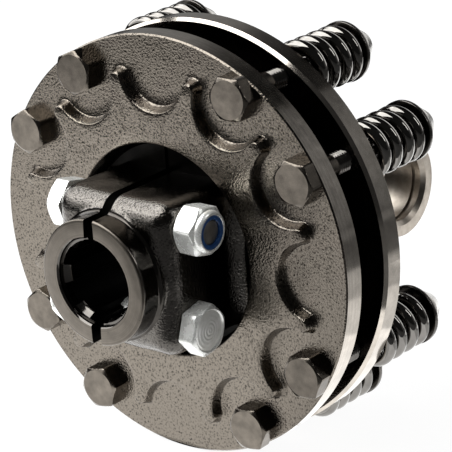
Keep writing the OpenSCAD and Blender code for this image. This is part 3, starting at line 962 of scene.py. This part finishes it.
def plate_bolt_parts(angle, turn):
    """One plate bolt: head in front of the plate, shank, and thread behind the flange."""
    head = head_parts(BOLT_AF, -HEAD_FRONT, BOLT_PAINT, BOLT_PAINT)
    shank_profile = [(BOLT_R, 0.0), (BOLT_R, SHANK_TAPER - THREAD_FROM),
                     (BOLT_R - SHANK_TAPER, -THREAD_FROM)]
    shank = loft(round_rows(shank_profile, THREAD_SIDES), BOLT_PAINT)
    thread = loft(thread_rows(THREAD_R, THREAD_FROM - 1, BOLT_END, BOLT_PITCH), CUP_PAINT, cap_last=True)
    place = Matrix.Translation(polar(BOLT_CIRCLE_R, angle, 0.0)) @ spin(90, "X") @ spin(turn, "Z")
    return [placed(p, place) for p in head + [shank]] + [placed(thread, place @ spin(180, "X"))]


def plate_bolts_piece():
    """All plate bolts, each head turned as in the photograph."""
    parts = []
    for angle, turn in zip(BOLT_ANGLES, HEAD_TURNS):
        parts += plate_bolt_parts(angle, turn)
    return piece("plate_bolts_black", parts, "housing", ["plate_bolts"], sharp=25)


def clamp_place(side):
    """Places a part drawn along +Z from a head's seat across the hub: +1 is the upper bolt, -1 the lower."""
    seat = -BLOCK_LEFT if side > 0 else BLOCK_RIGHT
    return Matrix.Translation((seat, CLAMP_Y, side * CLAMP_Z)) @ spin(side * 90, "Y") @ spin(CLAMP_TURN, "Z")


def nut_place(side):
    """Places a part drawn along +Z from a nut's seat."""
    return clamp_place(side) @ Matrix.Translation((0, 0, CLAMP_SPAN))


def clamp_bolts_piece():
    """Zinc bolts with turned head faces and threads that end inside the nuts."""
    end = CLAMP_SPAN + CLAMP_NUT - CLAMP_RECESS
    shank_profile = [(CLAMP_R, 0.0), (CLAMP_R, CLAMP_THREAD_FROM)]
    parts = []
    for side in (1, -1):
        place = clamp_place(side)
        head = head_parts(CLAMP_AF, CLAMP_HEAD, ZINC, ZINC_HEAD, CLAMP_RING_DEPTH, CLAMP_DOME)
        shank = loft(round_rows(shank_profile, CLAMP_SHANK_SIDES), ZINC)
        thread = loft(thread_rows(CLAMP_R, CLAMP_THREAD_FROM, end, CLAMP_PITCH), ZINC_DULL, cap_last=True)
        parts += [placed(p, place @ spin(180, "X")) for p in head]
        parts += [placed(p, place) for p in (shank, thread)]
    return piece("clamp_bolts_zinc", parts, "hub", ["clamp_bolts"], sharp=25)


def clamp_nuts_piece():
    """Locking nuts: a chamfered hexagon under a round collar with a rolled lip."""
    bore_r = CLAMP_R + 0.02
    collar = [(COLLAR_R, NUT_HEX_H + 0.1), (COLLAR_R, 10.3), (COLLAR_R - 0.15, 10.9),
              (COLLAR_R - 0.55, 11.5)]
    lip = [(COLLAR_R - 1.0, 11.85), (LIP_R + 0.4, CLAMP_NUT), (LIP_R + 0.1, 11.92), (LIP_R, 11.75)]
    inside = [(INSERT_R, 11.7), (INSERT_R, NUT_FLOOR), (bore_r, NUT_FLOOR), (bore_r, 0.0)]
    parts = []
    for side in (1, -1):
        rows = hex_rows(CLAMP_AF, NUT_HEX_H, NUT_TOP_SHARE, seat_bevel=True)
        rows += round_rows(collar + lip + inside)
        parts.append(placed(loft(rows, ZINC, wrap=True), nut_place(side)))
    return piece("clamp_nuts_zinc", parts, "hub", ["clamp_nuts"])


def nut_inserts_piece():
    """Blue locking rings under the lip of each nut, above the bolt's end, their blue partly darkened as
    painted shade of the recess.
    """
    outer, inner, bolt_r = INSERT_R - 0.05, CLAMP_R - 0.95, CLAMP_R + 0.03
    top = [(outer, INSERT_LOW), (outer, INSERT_HIGH), (inner + 0.5, INSERT_HIGH)]
    edge = [(inner + 0.1, INSERT_HIGH - 0.15), (inner, INSERT_HIGH - 0.5), (inner, INSERT_GRIP + 0.05)]
    bottom = [(bolt_r, INSERT_GRIP), (bolt_r, INSERT_LOW)]
    parts = []
    for side in (1, -1):
        rows = round_rows(top + edge + bottom)
        parts.append(placed(loft(rows, INSERT_BLUE_AND_SHADE, wrap=True), nut_place(side)))
    return piece("nut_inserts_blue", parts, "hub", ["clamp_nut_inserts"])


# Springs and cone nuts


def spring_height(t):
    """Height of the wire's centre after t turns, with closed turns at both ends."""
    seat = 0.3 * SPRING_WIRE
    end_pitch = 1.04 * SPRING_WIRE
    length = SPRING_END - SPRING_START
    open_turns = SPRING_TURNS - 2 * CLOSED_TURNS
    middle = (length - 2 * seat - 2 * CLOSED_TURNS * end_pitch) / open_turns
    if t < CLOSED_TURNS:
        return seat + end_pitch * t
    if t < SPRING_TURNS - CLOSED_TURNS:
        return seat + end_pitch * CLOSED_TURNS + middle * (t - CLOSED_TURNS)
    return length - seat - end_pitch * (SPRING_TURNS - t)


def spring_rows():
    """Rows of a round wire coil with ends ground flat, along +Y."""
    length = SPRING_END - SPRING_START
    rings = int(SPRING_TURNS * SPRING_STEPS)
    wire_r = SPRING_WIRE / 2
    rows = []
    for i in range(rings + 1):
        t = SPRING_TURNS * i / rings
        a = math.pi + 2 * math.pi * t
        row = []
        for k in range(WIRE_SIDES):
            b = 2 * math.pi * k / WIRE_SIDES
            r = SPRING_R - wire_r + wire_r * math.cos(b)
            h = min(max(spring_height(t) + wire_r * math.sin(b), 0.0), length)
            row.append((r * math.cos(a), h, -r * math.sin(a)))
        rows.append(row)
    return rows


def spring_piece(index):
    """One coil spring at its bolt."""
    angle = BOLT_ANGLES[index - 1]
    place = Matrix.Translation(polar(BOLT_CIRCLE_R, angle, SPRING_START)) @ spin(-angle, "Y")
    part = placed(loft(spring_rows(), SPRING_GLOSS, cap_first=True, cap_last=True), place)
    node = f"spring_{index}"
    return piece(f"{node}_coil", [part], "housing", [node], sharp=60)


def cone_rows():
    """Rows of a cone nut with six wrench flats milled into the cone."""
    height = CONE_END - CUP_BACK
    angles = [360 * k / ROUND_SIDES for k in range(ROUND_SIDES)]
    rows = round_rows([(BOLT_R, 0.0), (CONE_BASE_R, 0.0), (CONE_BASE_R - 0.2, 0.7)])
    for k in range(CONE_BANDS + 1):
        z = CONE_COLLAR + (height - CONE_COLLAR) * k / CONE_BANDS
        cone = lerp(CONE_BASE_R, CONE_TOP_R, z / height)
        radii = [smooth_min(cone, hex_radius(a, CONE_AF), CONE_BLEND) for a in angles]
        rows.append([around(r, math.radians(a), z) for r, a in zip(radii, angles)])
    return rows + round_rows([(BOLT_R + 0.2, height), (BOLT_R, height - 0.4)])


def cone_nuts_piece():
    """All cone nuts, each turned a little further than the one before."""
    parts = []
    for index, angle in enumerate(BOLT_ANGLES):
        seat = Matrix.Translation(polar(BOLT_CIRCLE_R, angle, CUP_BACK))
        place = seat @ spin(-90, "X") @ spin(CONE_TURN * index, "Z")
        parts.append(placed(loft(cone_rows(), CONE_GREY, wrap=True), place))
    return piece("cone_nuts_grey", parts, "housing", ["cone_nuts"])


# CAD pieces that keep their shape


def dress(node, material, bevel_mm=0.0):
    """Gives a CAD node its finish and, where asked, softly broken edges."""
    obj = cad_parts[node]
    obj.data.materials.clear()
    obj.data.materials.append(material)
    if bevel_mm:
        weld = obj.modifiers.new("weld", "WELD")
        weld.merge_threshold = 0.001 * MM
        bevel = obj.modifiers.new("bevel", "BEVEL")
        bevel.width = bevel_mm * MM
        bevel.segments = 3
        bevel.limit_method = "ANGLE"
        bevel.angle_limit = math.radians(35)
        bevel.harden_normals = True


# Studio


def area_lamp(name, size, watts):
    """A soft rectangular lamp that the camera doesn't see."""
    data = bpy.data.lights.new(name, "AREA")
    data.shape = "RECTANGLE"
    data.size, data.size_y = size
    data.energy = watts
    lamp = bpy.data.objects.new(name, data)
    lamp.visible_camera = False
    bpy.context.scene.collection.objects.link(lamp)
    return lamp


def studio_lamp(name, place, target, size, watts):
    """A lamp that looks at a point."""
    lamp = area_lamp(name, size, watts)
    lamp.location = place
    lamp.rotation_mode = "QUATERNION"
    lamp.rotation_quaternion = (Vector(target) - Vector(place)).to_track_quat("-Z", "Y")


def bounce_board(name, place, size, turn, radiance, lift):
    """A white board just above the floor that throws light up."""
    board = area_lamp(name, size, radiance * math.pi * size[0] * size[1])
    board.location = (*place, FLOOR_Z + lift * MM)
    board.rotation_euler = (math.pi, 0, math.radians(turn))


def fill_ramp(ramp, stops):
    """Gives a colour ramp its grey levels at stated positions."""
    while len(ramp.elements) < len(stops):
        ramp.elements.new(1.0)
    for element, (place, level) in zip(ramp.elements, stops):
        element.position = place
        element.color = (level, level, level, 1)


def mirrored_level(add):
    """Brightness of the surround as metal mirrors it: a glow behind the object and a bright backdrop."""
    side = add("ShaderNodeSeparateXYZ", {"Vector": add("ShaderNodeTexCoord").outputs["Generated"]})
    angle = math_value(add, "ARCTAN2", side.outputs["Z"], side.outputs["X"])
    share = add("ShaderNodeMapRange", {"Value": angle, "From Min": -math.pi, "From Max": math.pi})
    glow = add("ShaderNodeValToRGB", {"Fac": share.outputs["Result"]})
    fill_ramp(glow.color_ramp, [((degrees + 180) / 360, level) for degrees, level in BACK_GLOW])
    grade_inputs = {"Value": side.outputs["Y"], "From Min": BACK_FROM, "From Max": BACK_TO,
                    "To Min": SURROUND_DARK, "To Max": glow.outputs["Color"]}
    grade = add("ShaderNodeMapRange", grade_inputs, interpolation_type="SMOOTHSTEP")
    backdrop_inputs = {"Value": side.outputs["Y"], "From Min": BACKDROP_FROM, "From Max": BACKDROP_TO,
                       "To Max": BACKDROP_BRIGHT}
    backdrop = add("ShaderNodeMapRange", backdrop_inputs)
    return math_value(add, "MAXIMUM", grade.outputs["Result"], backdrop.outputs["Result"])


def studio_world():
    """White to the camera, a graded surround to mirroring metal, a plain fill to matt surfaces."""
    world = bpy.data.worlds.new("studio")
    bpy.context.scene.world = world
    world.use_nodes = True
    tree = world.node_tree
    add = node_adder(tree)
    path = add("ShaderNodeLightPath").outputs
    lit_inputs = {"Factor": path["Is Glossy Ray"], "A": FILL_LEVEL, "B": mirrored_level(add)}
    lit = add("ShaderNodeMix", lit_inputs).outputs["Result"]
    direct = math_value(add, "MAXIMUM", path["Is Camera Ray"], path["Is Transmission Ray"])
    strength = add("ShaderNodeMix", {"Factor": direct, "A": lit, "B": 1.0}).outputs["Result"]
    background = tree.nodes["Background"]
    background.inputs["Color"].default_value = (1, 1, 1, 1)
    tree.links.new(strength, background.inputs["Strength"])


def floor_material():
    """A grey floor that the camera sees as white, with the object's soft shadow."""
    material, shader, add, link = new_material("floor_white")
    camera_ray = add("ShaderNodeLightPath").outputs["Is Camera Ray"]
    link(value_range(add, camera_ray, 0.0, FLOOR_WHITE), shader.inputs["Emission Strength"])
    set_shader(shader, base_color=(FLOOR_GREY, FLOOR_GREY, FLOOR_GREY, 1), emission_color=(1, 1, 1, 1),
               roughness=FLOOR_ROUGH, specular_ior_level=0.0)
    return material


def studio_floor():
    """A plain square floor just below the object."""
    half = FLOOR_SIZE / 2
    corners = [(-half, -half), (half, -half), (half, half), (-half, half)]
    mesh = bpy.data.meshes.new("floor")
    mesh.from_pydata([(x, y, FLOOR_Z) for x, y in corners], [], [(0, 1, 2, 3)])
    mesh.materials.append(floor_material())
    floor = bpy.data.objects.new("floor", mesh)
    bpy.context.scene.collection.objects.link(floor)


def photo_camera():
    """The camera at the photograph's angle, with its slight roll."""
    data = bpy.data.cameras.new("camera")
    data.sensor_width = SENSOR_WIDTH
    data.lens = CAMERA_LENS
    camera = bpy.data.objects.new("camera", data)
    a, e = math.radians(CAMERA_AZIMUTH), math.radians(CAMERA_ELEVATION)
    back = Vector((math.sin(a) * math.cos(e), -math.cos(a) * math.cos(e), math.sin(e)))
    camera.location = (Vector(CAMERA_TARGET) + back * CAMERA_DISTANCE) * MM
    roll = Matrix.Rotation(math.radians(CAMERA_ROLL), 3, "Z")
    turn = (-back).to_track_quat("-Z", "Y").to_matrix() @ roll
    camera.rotation_euler = turn.to_euler()
    bpy.context.scene.collection.objects.link(camera)
    bpy.context.scene.camera = camera


bpy.context.scene.view_settings.view_transform = "Standard"
photo_camera()
studio_world()
studio_floor()
for lamp_row in LAMPS:
    studio_lamp(*lamp_row)
for board_row in BOARDS:
    bounce_board(*board_row)

front_plate_piece()
clamp_hub_piece()
plate_bolts_piece()
clamp_bolts_piece()
clamp_nuts_piece()
nut_inserts_piece()
for number in range(1, len(BOLT_ANGLES) + 1):
    spring_piece(number)
    dress(f"spring_cup_{number}", CUP_PAINT, bevel_mm=0.3)
cone_nuts_piece()
dress("flange_yoke", yoke_material("yoke_finish"))
dress("friction_disc_front", LINING)
dress("friction_disc_rear", LINING)
dress("pilot_bush", BRONZE)
